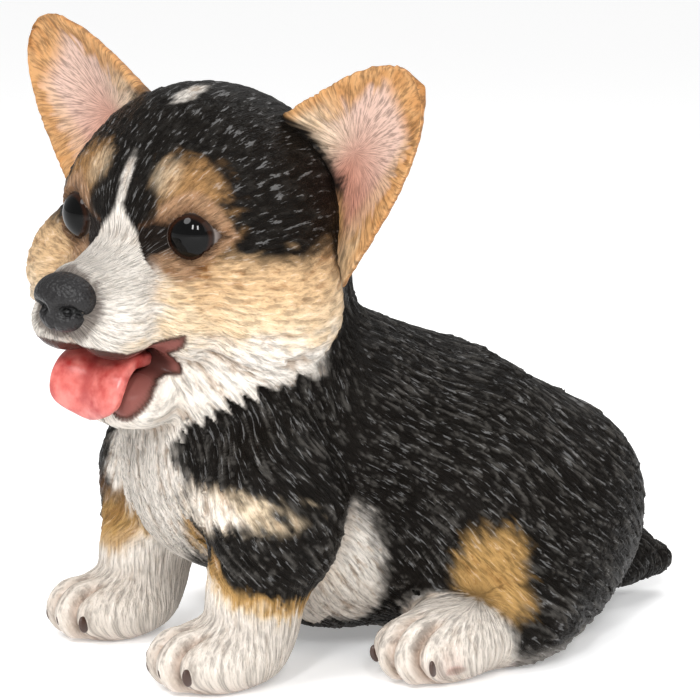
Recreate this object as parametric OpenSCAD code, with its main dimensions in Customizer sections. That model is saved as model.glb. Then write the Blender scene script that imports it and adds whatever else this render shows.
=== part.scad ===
// Seated puppy figurine, cast in separate pieces and glued on pegs and a dowel.
// The dog faces -Y, its left side is +X, and it stands on Z = 0.
// Each casting is a clay form: a few soft lumps that run into one another.

/* [Body] */
// Length from the front of the chest to the back of the rump
body_length = 148; // [124:1:178]
// Width across the flanks
body_width = 76; // [64:1:92]
// Height of the back behind the head
back_height = 92; // [78:1:112]

/* [Head] */
// Width of the head across the cheeks
head_width = 84; // [70:1:102]
// Turn of the head towards the dog's left, in degrees
head_turn = 29.8; // [0:0.1:36]
// Lift of the muzzle, in degrees
head_lift = 5; // [0:0.5:8]
// Lean of the head to its left, in degrees
head_lean = 4.7; // [0:0.1:8]
// Length of the muzzle in front of the brow
muzzle_length = 27; // [22:0.5:33]
// Width of the nose
nose_width = 17; // [14:0.5:21]

/* [Eyes] */
// Diameter of each glass eye
eye_diameter = 14.6; // [12:0.1:17.6]
// Distance between the middles of the two eyes
eye_spacing = 34; // [28:0.5:41]

/* [Ears] */
// Distance from the seat of an ear to its tip
ear_length = 41; // [34:0.5:50]
// Length of the root of an ear along the side of the skull
ear_root = 44; // [36:0.5:53]
// Thickness of an ear at its root
ear_thickness = 6; // [5:0.1:7.5]

/* [Mouth] */
// Width of the tongue
tongue_width = 20; // [16:0.5:24]
// Length of the tongue
tongue_length = 32; // [26:0.5:39]
// Width of the lower jaw
jaw_width = 25; // [20:0.5:30]

/* [Legs] */
// Distance between the middles of the two front paws
paw_spacing = 57; // [48:0.5:68]
// Width of each front paw
paw_width = 28; // [23:0.5:34]
// Width of each foreleg above the paw
leg_width = 24; // [20:0.5:29]
// Distance between the middles of the two hind feet
foot_spacing = 96; // [84:0.5:114]
// Length of each hind foot
foot_length = 38; // [32:0.5:46]
// Width of each hind foot
foot_width = 27; // [22:0.5:33]

/* [Tail] */
// How far the tail stands out behind the rump
tail_length = 17; // [14:0.5:21]
// Width of the tail
tail_width = 20; // [16:0.5:24]

/* [Joints] */
// Diameter of the steel dowel in the neck
dowel_diameter = 8; // [6:0.1:10]
// Length of the steel dowel in the neck
dowel_length = 40; // [30:0.5:48]
// Diameter of the pegs of the legs, feet and tail
peg_diameter = 6; // [5:0.1:7.2]
// Length of the pegs
peg_length = 8; // [6:0.1:9.6]
// Diameter of the pegs of the ears, nose and jaw
pin_diameter = 4; // [3:0.1:4.8]
// Space for glue round every peg, dowel and eye
glue_gap = 0.1; // [0.05:0.01:0.2]

/* [Hidden] */
round_sides = 64;
far = 400;

// Clay: each lump is [middle, matrix into its own unit ball]
skin_level = 0.6;
firmness = 6;
lump_reach = sqrt(1 - pow(skin_level / firmness, 1 / 3));

function turn_x(a) = [[1, 0, 0], [0, cos(a), -sin(a)], [0, sin(a), cos(a)]];
function turn_z(a) = [[cos(a), -sin(a), 0], [sin(a), cos(a), 0], [0, 0, 1]];
function scaled(m, r) = [m[0] / r[0], m[1] / r[1], m[2] / r[2]];
function lump(at, r, tip = 0, swing = 0) =
    [at, scaled(turn_x(-tip) * turn_z(-swing), r / lump_reach)];
function pair(at, r, tip = 0, swing = 0) =
    [lump(at, r, tip, swing), lump([-at[0], at[1], at[2]], r, tip, -swing)];

// Thickness of clay at a point, and how far out a ray finds the skin
function clay(p, lumps) =
    let (parts = [for (l = lumps) let (q = l[1] * (p - l[0]), t = 1 - q * q) t > 0 ? t * t * t : 0])
    firmness * (parts * [for (l = lumps) 1]);
function skin(from, way, lumps, low, high, steps) =
    steps == 0 ? low :
    let (mid = (low + high) / 2)
    clay(from + way * mid, lumps) > skin_level
        ? skin(from, way, lumps, mid, high, steps - 1)
        : skin(from, way, lumps, low, mid, steps - 1);

// A closed clay form, found along rays from a point inside it
module clay_form(lumps, heart, size, rows, cols) {
    ways = [
        [0, -1, 0],
        for (i = [1:rows - 1]) for (j = [0:cols - 1])
            let (a = 180 * i / rows, b = 360 * (j + (i % 2) / 2) / cols)
            [sin(a) * cos(b), -cos(a), sin(a) * sin(b)],
        [0, 1, 0]
    ];
    last = len(ways) - 1;
    function ring(i, j) = 1 + (i - 1) * cols + j % cols;
    skin_points = [for (w = ways) heart + w * skin(heart, w, lumps, 0, size, 14)];
    front_cap = [for (j = [0:cols - 1]) [0, ring(1, j + 1), ring(1, j)]];
    back_cap = [for (j = [0:cols - 1]) [last, ring(rows - 1, j), ring(rows - 1, j + 1)]];
    bands = [
        for (i = [1:rows - 2]) for (j = [0:cols - 1])
            let (k = j + i % 2)
            each [
                [ring(i, j), ring(i, j + 1), ring(i + 1, k)],
                [ring(i, j + 1 - i % 2), ring(i + 1, j + 1), ring(i + 1, j)]
            ]
    ];
    polyhedron(skin_points, concat(front_cap, bands, back_cap), convexity = 6);
}

// A box between two corners
module block(low, high) {
    translate(low) cube(high - low);
}

// Head place and joints
body_front = -58;
body_fit = [body_width / 76, body_length / 148, back_height / 92];
head_fit = head_width / 84;
function in_body(p) =
    [p[0] * body_fit[0], body_front + (p[1] + 58) * body_fit[1], p[2] * body_fit[2]];
function body_size(r) = [r[0] * body_fit[0], r[1] * body_fit[1], r[2] * body_fit[2]];
neck_seat = in_body([-2, -28, 78]);
neck_tip = 20;
head_rise = 29.7;
head_middle = [neck_seat[0], neck_seat[1] - 9 * head_fit, neck_seat[2] + head_rise * head_fit];

module in_head() {
    translate(head_middle) rotate([0, 0, head_turn]) rotate([0, head_lean, 0])
        rotate([head_lift, 0, 0]) children();
}

module above_neck() {
    translate(neck_seat) rotate([neck_tip, 0, 0]) translate([-far / 2, -far / 2, 0])
        cube(far);
}

// Sizes that follow from the ones above
eye_at = [eye_spacing / 2, -24.5 * head_fit, 7 * head_fit];
eye_swing = 18;
eye_seat = 5;
nose_seat = -(27 * head_fit + muzzle_length);
nose_low = -10;
nose_high = 5;
jaw_back = -22 * head_fit;
jaw_top = -27.5 * head_fit;
jaw_front = -48 * head_fit;
lip_height = -20 * head_fit;
ear_tilt = 24.3;
ear_sweep = 18;
ear_cup = 9;
ear_seat = [29.5 * head_fit, 6, 11 * head_fit];
stance_shift = 3;
leg_top = 34;
leg_back = -24;
leg_inner = 8;
paw_front = -51.5;
foot_top = 19;
foot_back = 28;
foot_inner = 30;
foot_middle = 5;
tail_seat = body_front + body_length - 6;
tail_top = 26;
nose_tip = -nose_seat + 9;
nose_drop = 1.93;
front_y = head_middle[1] - nose_tip * cos(head_turn) - nose_drop;
back_y = body_front + body_length + tail_length;
centre_y = (front_y + back_y) / 2;

module placed() {
    translate([0, -centre_y, 0]) children();
}

module peg(width, length, gap = 0) {
    cylinder(d = width + 2 * gap, h = length + 4 * gap, $fn = round_sides);
}

// Lumps that two castings share, so that their skins meet at the joint
function leg_x(side) = stance_shift + side * paw_spacing / 2;
function leg_y(side) = paw_front + side * 1.5;
function upper_leg(side) =
    lump([leg_x(side) + side, leg_y(side) + 16, leg_top + 8], [leg_width / 2 + 4, 17, 22]);
function hock(side) = lump([side * (foot_spacing / 2 - 6), foot_middle + 20, 10], [16, 21, 11]);
tail_root = lump([0, tail_seat, 12], [tail_width / 2, 12, 9]);

// Body: chest, back, rump and the two haunches, cast in one
torso_lumps = [
    lump(in_body([0, -29, 70]), body_size([30, 27, 32])),
    lump(in_body([0, -30, 50]), body_size([31, 27, 29])),
    lump(in_body([0, -4, 53]), body_size([35, 34, 35])),
    lump(in_body([0, 26, 45]), body_size([38, 34, 34])),
    lump(in_body([0, 54, 33]), body_size([38, 35, 32])),
    lump(in_body([0, -4, 26]), body_size([34, 26, 22])),
    each pair(in_body([28, 34, 24]), body_size([20, 31, 29])),
    lump(in_body([0, 40, 18]), body_size([36, 40, 23])),
    for (side = [-1, 1]) each [upper_leg(side), hock(side)],
    tail_root
];

// One end of the neck dowel's hole, which runs both ways from the neck seat
module neck_dowel_place() {
    translate(neck_seat) rotate([neck_tip, 0, 0]) translate([0, 0, -dowel_length / 2]) children();
}

module foreleg_cell(side) {
    low = side > 0 ? leg_inner + stance_shift : -far / 2;
    high = side > 0 ? far / 2 : -leg_inner + stance_shift;
    block([low, -far / 2, 0], [high, leg_back, leg_top]);
}

module foreleg_peg_place(side) {
    translate([leg_x(side), leg_y(side) + 15, leg_top]) children();
}

module foot_cell(side) {
    low = side > 0 ? foot_inner : -far / 2;
    high = side > 0 ? far / 2 : -foot_inner;
    block([low, -22, 0], [high, foot_back, foot_top]);
}

module foot_peg_place(side) {
    translate([side * (foot_spacing / 2 - 6), foot_back, 10]) rotate([-90, 0, 0]) children();
}

module tail_cell() {
    block([-far / 2, tail_seat, 0], [far / 2, far / 2, tail_top]);
}

module tail_peg_place() {
    translate([0, tail_seat, 12]) rotate([90, 0, 0]) children();
}

module body() {
    color("#2b2725") placed() difference() {
        clay_form(torso_lumps, in_body([0, 12, 42]), 130, 26, 44);
        block([-far / 2, -far / 2, -far], [far / 2, far / 2, 0]);
        above_neck();
        neck_dowel_place() peg(dowel_diameter, dowel_length, glue_gap);
        for (side = [-1, 1]) {
            foreleg_cell(side);
            foreleg_peg_place(side) peg(peg_diameter, peg_length, glue_gap);
            foot_cell(side);
            foot_peg_place(side) peg(peg_diameter, peg_length, glue_gap);
        }
        tail_cell();
        tail_peg_place() peg(peg_diameter, peg_length, glue_gap);
    }
}

// Head: skull, brow, cheeks, throat and the upper muzzle, cast in one
function in_skull(p) = p * head_fit;
muzzle_push = nose_seat + 54;
skull_lumps = [
    lump(in_skull([0, 2, 6]), in_skull([34, 33, 31])),
    lump(in_skull([0, -16, 9]), in_skull([25, 17, 17])),
    lump(in_skull([0, 12, -12]), in_skull([32, 26, 26])),
    lump(in_skull([0, -8, -28]), in_skull([26, 24, 17])),
    each pair(in_skull([25.5, -8, -12]), in_skull([18.5, 19, 17])),
    lump(in_skull([0, -35 + muzzle_push / 2, -5]), in_skull([11, 19 - muzzle_push / 2, 9.5]), 14),
    lump(in_skull([0, -49 + muzzle_push, -6]), in_skull([9, 8.5, 9.5])),
    each pair(in_skull([7, -44 + muzzle_push, -12]), in_skull([8.5, 12, 8]))
];

module nose_cell() {
    block([-far / 2, -far / 2, nose_low - 4], [far / 2, nose_seat, nose_high + 4]);
}

module nose_pin_place() {
    translate([0, nose_seat, -2.5]) rotate([-90, 0, 0]) children();
}

module mouth_cell() {
    block([-jaw_width / 2 - 2, -far / 2, -far / 2], [jaw_width / 2 + 2, jaw_back, lip_height]);
}

module jaw_pin_place() {
    translate([0, jaw_back, jaw_top - 3]) rotate([-90, 0, 0]) children();
}

module eye_place(side) {
    translate([side * eye_at[0], eye_at[1], eye_at[2]]) rotate([0, 0, side * eye_swing])
        rotate([90, 0, 0]) children();
}

// The frame of an ear: X along the root towards the crown, Z out along the ear
module ear_place(side) {
    mirror([side > 0 ? 0 : 1, 0, 0]) translate(ear_seat) rotate([0, 90 - ear_tilt, 0])
        mirror([1, 0, 0]) children();
}

module ear_cell() {
    block([-ear_root, -ear_thickness / 2 - 1, 0], [ear_root, ear_cup + ear_thickness, far / 4]);
}

module ear_pin_place() {
    translate([0, ear_cup, 0]) rotate([180, 0, 0]) children();
}

module head() {
    color("#c79a63") placed() intersection() {
        above_neck();
        difference() {
            in_head() difference() {
                clay_form(skull_lumps, in_skull([0, -8, -3]), 100, 26, 40);
                nose_cell();
                nose_pin_place() peg(pin_diameter, 6, glue_gap);
                mouth_cell();
                jaw_pin_place() peg(pin_diameter, 6, glue_gap);
                for (side = [-1, 1]) {
                    eye_place(side) translate([0, 0, -eye_seat])
                        cylinder(d = eye_diameter + 2 * glue_gap, h = far / 10, $fn = round_sides);
                    ear_place(side) ear_cell();
                    ear_place(side) ear_pin_place() peg(pin_diameter, 6, glue_gap);
                }
            }
            neck_dowel_place() peg(dowel_diameter, dowel_length, glue_gap);
        }
    }
}

// Lower jaw: the chin and the two lower lips
module jaw_block() {
    block([-jaw_width / 2, jaw_front, -far / 2], [jaw_width / 2, jaw_back, jaw_top]);
}

module lower_jaw() {
    jaw_lumps = [lump([0, (jaw_front + jaw_back) / 2 + 3, jaw_top - 1], [jaw_width / 2, 17, 6.5], -6)];
    color("#e9e2d8") placed() in_head() {
        intersection() {
            clay_form(jaw_lumps, [0, (jaw_front + jaw_back) / 2, jaw_top - 1], 60, 12, 24);
            jaw_block();
        }
        jaw_pin_place() peg(pin_diameter, 6);
    }
}

// Tongue: lies on the lower jaw and hangs over its front
module tongue() {
    tip_y = jaw_back - tongue_length;
    tongue_lumps = [
        lump([0, (tip_y + jaw_back) / 2, jaw_top + 2.5], [tongue_width / 2 - 1, tongue_length / 2, 3.5], 14),
        lump([0, tip_y + 5, jaw_top - 2.5], [tongue_width / 2, 7, 5], 50)
    ];
    color("#d2625c") placed() in_head() difference() {
        clay_form(tongue_lumps, [0, tip_y + 10, jaw_top + 0.5], 60, 14, 24);
        jaw_block();
        block([-far / 2, jaw_back, -far / 2], [far / 2, far / 2, far / 2]);
        block([-far / 2, -far / 2, lip_height - 0.3], [far / 2, far / 2, far / 2]);
    }
}

// Nose: seated on the front of the muzzle
module nose() {
    nose_lumps = [lump([0, nose_seat - 2.5, (nose_low + nose_high) / 2], [nose_width / 2, 6.5, 6.5])];
    color("#1b1a1c") placed() in_head() {
        intersection() {
            clay_form(nose_lumps, [0, nose_seat - 2.5, (nose_low + nose_high) / 2], 30, 12, 24);
            nose_cell();
        }
        nose_pin_place() peg(pin_diameter, 6);
    }
}

// Ears: cupped blades that narrow to a round tip
ear_rings = 12;
ear_sides = 24;

module ear(side) {
    function half_width(t) = ear_root / 2 * sqrt(max(0, 1 - t * t)) * (1 - 0.2 * sqrt(t));
    function ear_point(t, a) = [
        ear_sweep * t + half_width(t) * cos(a),
        ear_cup * (1 - 0.75 * t) * sin(a) * sin(a)
            + ear_thickness * (1 - 0.55 * t) / 2 * sin(a) * (half_width(t) > 1 ? 1 : 0.5),
        ear_length * t
    ];
    blade = [
        for (i = [0:ear_rings - 1]) for (j = [0:ear_sides - 1])
            ear_point(sin(90 * i / ear_rings), 360 * j / ear_sides),
        ear_point(1, 0)
    ];
    function at(i, j) = i * ear_sides + j % ear_sides;
    root = [
        for (j = [0:ear_sides / 2 - 1]) each [
            [j, j + 1, ear_sides - j - 1],
            [j, ear_sides - j - 1, (ear_sides - j) % ear_sides]
        ]
    ];
    walls = [
        for (i = [0:ear_rings - 2]) for (j = [0:ear_sides - 1]) each [
            [at(i, j), at(i + 1, j), at(i + 1, j + 1)],
            [at(i, j), at(i + 1, j + 1), at(i, j + 1)]
        ]
    ];
    tip = [for (j = [0:ear_sides - 1]) [at(ear_rings - 1, j), len(blade) - 1, at(ear_rings - 1, j + 1)]];
    root_faces = [for (f = root) if (f[0] != f[2] && f[1] != f[2]) f];
    color("#cf9a68") placed() in_head() ear_place(side) {
        polyhedron(blade, concat(root_faces, walls, tip), convexity = 6);
        ear_pin_place() peg(pin_diameter, 6);
    }
}

module left_ear() {
    ear(1);
}

module right_ear() {
    ear(-1);
}

// Eyes: domed glass with a flat back, seated in round holes
module eye(side) {
    color("#14100e") placed() in_head() eye_place(side) {
        translate([0, 0, -eye_seat]) cylinder(d = eye_diameter, h = eye_seat, $fn = round_sides);
        intersection() {
            sphere(d = eye_diameter, $fn = round_sides);
            cylinder(d = 2 * eye_diameter, h = eye_diameter, $fn = round_sides);
        }
    }
}

module left_eye() {
    eye(1);
}

module right_eye() {
    eye(-1);
}

// Forelegs: upper leg, wrist and paw, cast in one with a peg on top
module foreleg(side) {
    x = leg_x(side);
    paw_y = leg_y(side);
    leg_lumps = [
        upper_leg(side),
        lump([x + side, paw_y + 10, 20], [leg_width / 2 - 0.5, 12, 18]),
        lump([x, paw_y, 8], [paw_width / 2, 17, 9])
    ];
    color("#efe9df") placed() {
        intersection() {
            clay_form(leg_lumps, [x + side, paw_y + 9, 14], 90, 16, 28);
            foreleg_cell(side);
        }
        foreleg_peg_place(side) peg(peg_diameter, peg_length);
    }
}

module left_foreleg() {
    foreleg(1);
}

module right_foreleg() {
    foreleg(-1);
}

// Hind feet: set forward of the haunches, toes turned out
module hind_foot(side) {
    x = side * foot_spacing / 2;
    foot_lumps = [
        lump([x, foot_middle, 8.5], [foot_width / 2, foot_length / 2, 9.5], 0, side * 18),
        hock(side)
    ];
    color("#efe9df") placed() {
        intersection() {
            clay_form(foot_lumps, [x - side * 2, foot_middle + 8, 9], 90, 14, 28);
            foot_cell(side);
        }
        foot_peg_place(side) peg(peg_diameter, peg_length);
    }
}

module left_hind_foot() {
    hind_foot(1);
}

module right_hind_foot() {
    hind_foot(-1);
}

// Tail: a short stub with a pointed end
module tail() {
    tail_lumps = [
        tail_root,
        lump([0, back_y - 9, 8], [tail_width / 2 - 4, 9, 5.5])
    ];
    color("#2b2725") placed() {
        intersection() {
            clay_form(tail_lumps, [0, tail_seat + 4, 10], 60, 14, 24);
            tail_cell();
        }
        tail_peg_place() peg(peg_diameter, peg_length);
    }
}

// Neck dowel: a steel rod that holds the head on the body
module neck_dowel() {
    color("silver") placed() neck_dowel_place() peg(dowel_diameter, dowel_length);
}

body();
head();
lower_jaw();
tongue();
nose();
left_ear();
right_ear();
left_eye();
right_eye();
left_foreleg();
right_foreleg();
left_hind_foot();
right_hind_foot();
tail();
neck_dowel();
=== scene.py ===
from math import cos, pi, radians, sin, tan

import bmesh
import bpy
import numpy as np
from mathutils import Matrix, Vector


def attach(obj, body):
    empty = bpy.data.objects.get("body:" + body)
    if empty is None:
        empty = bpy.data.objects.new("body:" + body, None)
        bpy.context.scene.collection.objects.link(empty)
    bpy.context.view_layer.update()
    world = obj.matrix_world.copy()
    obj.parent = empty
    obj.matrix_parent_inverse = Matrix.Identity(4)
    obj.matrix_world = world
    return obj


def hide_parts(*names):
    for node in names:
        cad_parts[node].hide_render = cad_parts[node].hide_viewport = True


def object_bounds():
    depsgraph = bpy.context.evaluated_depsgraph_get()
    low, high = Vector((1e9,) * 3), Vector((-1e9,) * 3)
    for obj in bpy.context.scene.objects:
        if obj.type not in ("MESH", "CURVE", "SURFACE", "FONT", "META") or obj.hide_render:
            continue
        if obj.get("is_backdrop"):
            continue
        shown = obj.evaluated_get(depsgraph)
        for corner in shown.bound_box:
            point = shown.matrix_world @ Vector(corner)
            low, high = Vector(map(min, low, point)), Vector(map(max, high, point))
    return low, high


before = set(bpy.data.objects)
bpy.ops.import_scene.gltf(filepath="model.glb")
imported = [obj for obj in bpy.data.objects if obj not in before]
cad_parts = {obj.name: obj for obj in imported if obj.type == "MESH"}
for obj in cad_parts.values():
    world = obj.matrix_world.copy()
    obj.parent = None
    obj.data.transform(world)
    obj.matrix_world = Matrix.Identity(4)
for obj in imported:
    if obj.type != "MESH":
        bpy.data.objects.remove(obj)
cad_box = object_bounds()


# ---------------------------------------------------------------------------
# Clay form. The master of the castings is one clay model of soft lumps that run
# into one another, in millimetres in the dog's own frame, SET_BACK from the
# middle of the base. The head's lumps are placed in the turned head's frame.
MM = 0.001
SET_BACK = 6.7
HEAD_MIDDLE = np.array([-2.0, -37.0, 107.7])
HEAD_TURN, HEAD_LEAN, HEAD_LIFT = 29.8, 4.7, 5.0
head_turned = np.array(
    Matrix.Rotation(radians(HEAD_TURN), 3, "Z")
    @ Matrix.Rotation(radians(HEAD_LEAN), 3, "Y")
    @ Matrix.Rotation(radians(HEAD_LIFT), 3, "X")
)


def deselect_all():
    bpy.ops.object.select_all(action="DESELECT")


def pick(piece):
    """Makes this piece the active one, and the only one selected."""
    deselect_all()
    piece.select_set(True)
    bpy.context.view_layer.objects.active = piece


def from_head(points):
    return np.asarray(points, float) @ head_turned.T + HEAD_MIDDLE


def to_head(points):
    return (np.asarray(points, float) - HEAD_MIDDLE) @ head_turned


def to_frame(points):
    return (np.asarray(points, float) - (0, SET_BACK, 0)) * MM


def lump(at, radii, tip=0, swing=0):
    turn = Matrix.Rotation(radians(swing), 3, "Z") @ Matrix.Rotation(radians(tip), 3, "X")
    return Vector(at), radii, turn


def pair(at, radii, tip=0, swing=0):
    across, along, up = at
    return [lump(at, radii, tip, swing), lump((-across, along, up), radii, tip, -swing)]


body_clay = [
    lump((0, -29, 70), (30, 27, 32)),
    lump((0, -30, 50), (31, 27, 29)),
    lump((0, -4, 53), (35, 34, 34)),
    lump((0, 25, 44.5), (38, 34, 32)),
    lump((0, 51, 32.5), (38, 34.5, 29)),
    lump((0, -4, 26), (34, 26, 22)),
    lump((0, 40, 18), (36, 40, 23)),
    lump((0, 84, 12), (10, 12, 9)),
    lump((0, 93.5, 9.5), (5.5, 8.5, 5.0)),
    *pair((28, 34, 24), (20, 31, 29)),
]
PAWS = {1: (31.5, -49.5), -1: (-25.5, -53.0)}
HIND_ACROSS, HIND_SWING = 48, 18
for side, (across, along) in PAWS.items():
    body_clay += [
        lump((across + side, along + 16, 42), (16, 17, 22)),
        lump((across + side, along + 10, 20), (11.5, 12, 18)),
        lump((across, along, 8), (14, 16, 9)),
        lump((side * HIND_ACROSS, 5, 8.5), (13.5, 18.5, 9.5), 0, side * HIND_SWING),
        lump((side * 42, 25, 10), (16, 21, 11)),
    ]
head_clay = [
    lump((0, 2, 6), (34, 33, 31)),
    lump((0, -16, 9), (25, 17, 17)),
    lump((0, 12, -12), (32, 26, 26)),
    lump((0, -8, -28), (26, 24, 17)),
    lump((0, -35, -5), (11, 19, 9.5), 14),
    lump((0, -49, -7), (9, 8.5, 9.5)),
    lump((0, -27.5, -36), (12, 13.5, 6), 8),
    *pair((25.5, -8, -12), (18.5, 19, 17)),
    *pair((7, -43, -13), (8.5, 12, 8.5)),
    *pair((14, -27, -13), (9.5, 11, 10.5)),
    *pair((8, -35.5, -33), (6.5, 9, 6)),
]


def model_clay(name, lumps, fineness):
    """One skin over the lumps, modelled oversize and then brought to scale."""
    oversize = 20
    firmness, skin_level = 6.0, 0.6
    reach = (1 - (skin_level / firmness) ** (1 / 3)) ** 0.5
    deselect_all()
    bpy.ops.object.metaball_add(type="ELLIPSOID", radius=1)
    clay = bpy.context.object
    clay.data.elements.remove(clay.data.elements[0])
    clay.data.threshold = skin_level
    clay.data.resolution = fineness * oversize
    for at, radii, turn in lumps:
        element = clay.data.elements.new(type="ELLIPSOID")
        widest = max(radii)
        element.co = at * MM * oversize
        element.radius = widest * MM * oversize / reach
        element.size_x, element.size_y, element.size_z = [r / widest for r in radii]
        element.rotation = turn.to_quaternion()
        element.stiffness = firmness
    bpy.ops.object.convert(target="MESH")
    clay = bpy.context.object
    clay.name = name
    clay.location = (0, 0, 0)
    clay.data.transform(Matrix.Scale(1 / oversize, 4))
    return clay


def finish_with(piece, kind, **values):
    """Adds one modifier with these values and applies it."""
    pick(piece)
    modifier = piece.modifiers.new(kind.title(), kind)
    for key, value in values.items():
        setattr(modifier, key, value)
    bpy.ops.object.modifier_apply(modifier=modifier.name)


def on_the_head(lumps):
    return [(Vector(from_head(at)), radii, Matrix(head_turned) @ turn) for at, radii, turn in lumps]


skin = model_clay("Coat", body_clay + on_the_head(head_clay), 0.0016)
finish_with(skin, "SUBSURF", levels=1, render_levels=1)

# ---------------------------------------------------------------------------
# Mouth. The clay is cut open between the upper lip and the lower jaw: a wide
# cut as far back as the corners of the grin, and a narrower one behind it to
# the throat. The underside is cut flat to stand on.
THROAT, MOUTH_CORNER = -26.3, -34.5
THROAT_HALF, GRIN_HALF = 14.5, 27.0
UPPER_LIP = np.array([(-72, -12.5), (-60, -15.0), (-53, -17.2), (-47, -19.0), (-40, -18.9),
                      (-37.3, -17.2), (MOUTH_CORNER, -15.6), (THROAT, -18.0)])
LOWER_LIP = np.array([(-72, -66.0), (-45, -42.5), (-42.2, -34.2), (-38, -29.6),
                      (MOUTH_CORNER, -27.8), (THROAT, -27.2)])


def lip_height(lip, along):
    """Height of a lip at places along the head."""
    return np.interp(along, lip[:, 0], lip[:, 1])


def cut_away(piece, cutter):
    finish_with(piece, "BOOLEAN", operation="DIFFERENCE", object=cutter, solver="EXACT")
    bpy.data.objects.remove(cutter)


def new_piece(name, mesh):
    piece = bpy.data.objects.new(name, mesh)
    bpy.context.scene.collection.objects.link(piece)
    return piece


for back, half in ((THROAT, THROAT_HALF), (MOUTH_CORNER, GRIN_HALF)):
    rim = np.concatenate([lip[lip[:, 0] <= back][::way] for lip, way in ((UPPER_LIP, 1), (LOWER_LIP, -1))])
    sides = len(rim)
    corners = [from_head((across, *spot)) * MM for across in (-half, half) for spot in rim]
    walls = [[n, (n + 1) % sides, sides + (n + 1) % sides, sides + n] for n in range(sides)]
    mesh = bpy.data.meshes.new("Mouth cut")
    mesh.from_pydata(corners, [], walls + [list(range(sides))[::-1], list(range(sides, 2 * sides))])
    mouth_cut = new_piece("Mouth cut", mesh)
    finish_with(mouth_cut, "BEVEL", width=1.3 * MM, segments=4)
    cut_away(skin, mouth_cut)
FLOOR_BLOCK = 0.4
bpy.ops.mesh.primitive_cube_add(size=FLOOR_BLOCK, location=(0, 0, -FLOOR_BLOCK / 2))
cut_away(skin, bpy.context.object)

skin_detail = 0.73
finish_with(skin, "REMESH", mode="VOXEL", voxel_size=skin_detail * MM)
finish_with(skin, "SMOOTH", factor=0.5, iterations=4)

# ---------------------------------------------------------------------------
# Sculpting. Eyelids, toes and the cleft of the lip are worked into the clay,
# and then the coat: tapered locks that follow the lie of the hair, long and
# wavy on the chest and throat, short on the muzzle, feet and face.
def values_of(items, key):
    """Three numbers from each of a mesh's items, as rows."""
    got = np.empty(len(items) * 3)
    items.foreach_get(key, got)
    return got.reshape(-1, 3)


count = len(skin.data.vertices)
spots = values_of(skin.data.vertices, "co") / MM
normals = values_of(skin.data.vertex_normals, "vector")


def ease(low, high, value):
    """Goes smoothly from 0 at low to 1 at high."""
    t = np.clip((value - low) / (high - low), 0, 1)
    return t * t * (3 - 2 * t)


def grain(points, seed):
    """Smooth noise between 0 and 1, the same on every run."""
    cell = np.floor(points).astype(np.int64)
    part = points - cell
    part = part * part * (3 - 2 * part)
    total = np.zeros(len(points))
    for corner in range(8):
        step = np.array([corner & 1, corner >> 1 & 1, corner >> 2 & 1])
        n = cell + step
        key = n[:, 0] * 374761393 + n[:, 1] * 668265263 + n[:, 2] * 2147483647 + seed * 144665
        key = (key ^ (key >> 13)) * 1274126177 & 0x7FFFFFFF
        key = (key ^ (key >> 15)) * 97531 & 0x7FFFFFFF
        weight = np.prod(np.where(step, part, 1 - part), axis=1)
        total += weight * (key % 65536) / 65535
    return total


EYE_AT = (15.7, -24.2, 7.0)
EYE_RADIUS = 7.3
EYE_SWING, EYE_LIFT = 18, 4
EYE_REACH = 14
LID = 8.1
LID_OPENING, LID_CORNER = radians(53), radians(84)


def eye_angles(points, side):
    """Distance from the eye's middle, and the angles outwards and upwards."""
    across, along, up = EYE_AT
    rel = to_head(points) - (side * across, along, up)
    swing = radians(EYE_SWING)
    out = rel @ (side * cos(swing), sin(swing), 0)
    ahead = rel @ (side * sin(swing), -cos(swing), sin(radians(EYE_LIFT)))
    far = np.linalg.norm(rel, axis=1)
    return far, np.arctan2(out, ahead), np.arctan2(rel[:, 2], ahead)


# How far each point is past the lids' edge, in three measures; 9 is far away
lid_edge = np.full(count, 9.0)
lid_gap = np.full(count, 9.0)
round_eye = np.full(count, 9.0)
for side in (1, -1):
    far, outwards, upwards = eye_angles(spots, side)
    tilt = upwards - 0.12 * outwards
    limit = LID_OPENING * np.clip(1 - (outwards / LID_CORNER) ** 2, 0.06, 1)
    opening = np.hypot(tilt / limit, 0.35 * outwards)
    near = far < EYE_REACH
    lid_edge = np.where(near, np.minimum(lid_edge, opening), lid_edge)
    gap = np.abs(tilt) - limit + 2 * np.clip(np.abs(outwards) - 1.35, 0, None)
    lid_gap = np.where(near, np.minimum(lid_gap, gap), lid_gap)
    away = np.hypot(tilt, 0.8 * outwards) + 0.5 * ease(9.5, EYE_REACH, far)
    round_eye = np.where(near, np.minimum(round_eye, away), round_eye)
    lid = LID + 0.5 * np.exp(-(((opening - 1.15) / 0.22) ** 2))
    wanted = np.where(opening > 1, np.maximum(far, lid), np.minimum(far, EYE_RADIUS - 0.8))
    blend = near & (far < 10.5)
    centre = from_head((side * EYE_AT[0], EYE_AT[1], EYE_AT[2]))
    ray = (spots - centre) / np.maximum(far, 1e-6)[:, None]
    spots = np.where(blend[:, None], centre + ray * wanted[:, None], spots)

COLLAR_HEIGHT, COLLAR_TILT, COLLAR_AHEAD = 78, 20, 28


def collar_at(points):
    """Height of the seam between head and body, which rises backwards."""
    return COLLAR_HEIGHT + tan(radians(COLLAR_TILT)) * (points[:, 1] + COLLAR_AHEAD)


face = to_head(spots)
on_head = spots[:, 2] > collar_at(spots)
cleft = np.exp(-((face[:, 0] / 0.9) ** 2)) * ease(-46, -53, face[:, 1]) * ease(-7, -11, face[:, 2])
spots -= normals * (1.1 * cleft * on_head)[:, None]

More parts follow.
